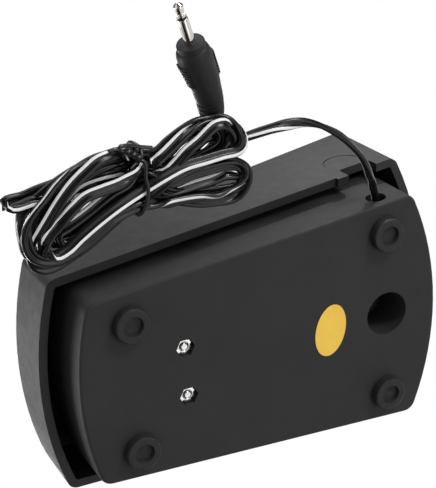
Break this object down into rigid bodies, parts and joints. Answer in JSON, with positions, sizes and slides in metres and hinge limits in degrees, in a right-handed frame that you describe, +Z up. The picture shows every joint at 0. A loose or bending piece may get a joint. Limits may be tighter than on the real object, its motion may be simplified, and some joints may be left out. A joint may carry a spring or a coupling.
{
  "type": "sewing machine foot pedal",
  "caption": "Hinged treadle pedal on a tray base with rubber feet, spring return, leaf switch and a hanked twin cord ending in a jack plug.",
  "frame": {"origin": "floor level under the middle of the pedal's bounding box, standing on its four feet as in use", "axes": "+Z up; +X along the pedal from the low hinge end to the high cord end; the cord leaves through the long side that faces -Y"},
  "size_m": [0.1606, 0.1724, 0.0601],
  "materials": {
    "housing_plastic": "fine textured black moulding",
    "treadle_plastic": "fine textured black moulding",
    "pin_steel": "ground steel",
    "spring_steel": "drawn wire",
    "zinc_screw": "zinc plated",
    "nickel_nut": "bright nickel",
    "phenolic": "pressed paper laminate",
    "leaf_brass": "rolled strip",
    "contact_silver": "silver rivet",
    "foot_rubber": "matt black rubber",
    "cord_pvc": "soft glossy black insulation with one white stripe",
    "wire_white": "soft white insulation",
    "tie_pvc": "coated wire strip",
    "plug_pvc": "satin moulded black",
    "jack_nickel": "bright nickel plate",
    "jack_insulator": "moulded black"
  },
  "bodies": {
    "base": {"base_housing": "housing_plastic", "hinge_pin": "pin_steel", "insulator_lower": "phenolic", "leaf_fixed": "leaf_brass", "insulator_spacer": "phenolic", "leaf_root": "leaf_brass", "clamp_plate": "phenolic", "clamp_screw_a": "zinc_screw", "clamp_screw_b": "zinc_screw", "clamp_nut_a": "nickel_nut", "clamp_nut_b": "nickel_nut", "rivet_fixed": "contact_silver", "foot_hinge_left": "foot_rubber", "foot_hinge_right": "foot_rubber", "foot_cord_left": "foot_rubber", "foot_cord_right": "foot_rubber", "cord_knot": "cord_pvc", "wire_a": "cord_pvc", "wire_b": "wire_white", "cord_lead": "cord_pvc", "cord_hank": "cord_pvc", "twist_tie": "tie_pvc", "plug_lead": "cord_pvc", "plug_relief": "plug_pvc", "plug_body": "plug_pvc", "jack_sleeve": "jack_nickel", "jack_ring": "jack_insulator", "jack_tip": "jack_nickel"},
    "treadle": {"treadle_shell": "treadle_plastic", "return_spring": "spring_steel", "stop_screw": "zinc_screw", "stop_washer": "zinc_screw"},
    "leaf": {"leaf_moving": "leaf_brass", "rivet_moving": "contact_silver"}
  },
  "joints": [
    {"name": "treadle_press", "type": "hinge", "parent": "base", "child": "treadle", "pos_m": [-0.0575, 0, 0.025], "axis": [0, 1, 0], "range_deg": [0, 2.5], "stiffness_Nm_per_rad": 30, "springref_deg": -1.15, "deforming": ["return_spring"]},
    {"name": "leaf_flex", "type": "hinge", "parent": "base", "child": "leaf", "pos_m": [-0.0213, 0, 0.01865], "axis": [0, 1, 0], "range_deg": [0, 5.6]}
  ],
  "couplings": [
    {"joint": "leaf_flex", "follows": "treadle_press", "ratio": 2.24}
  ]
}
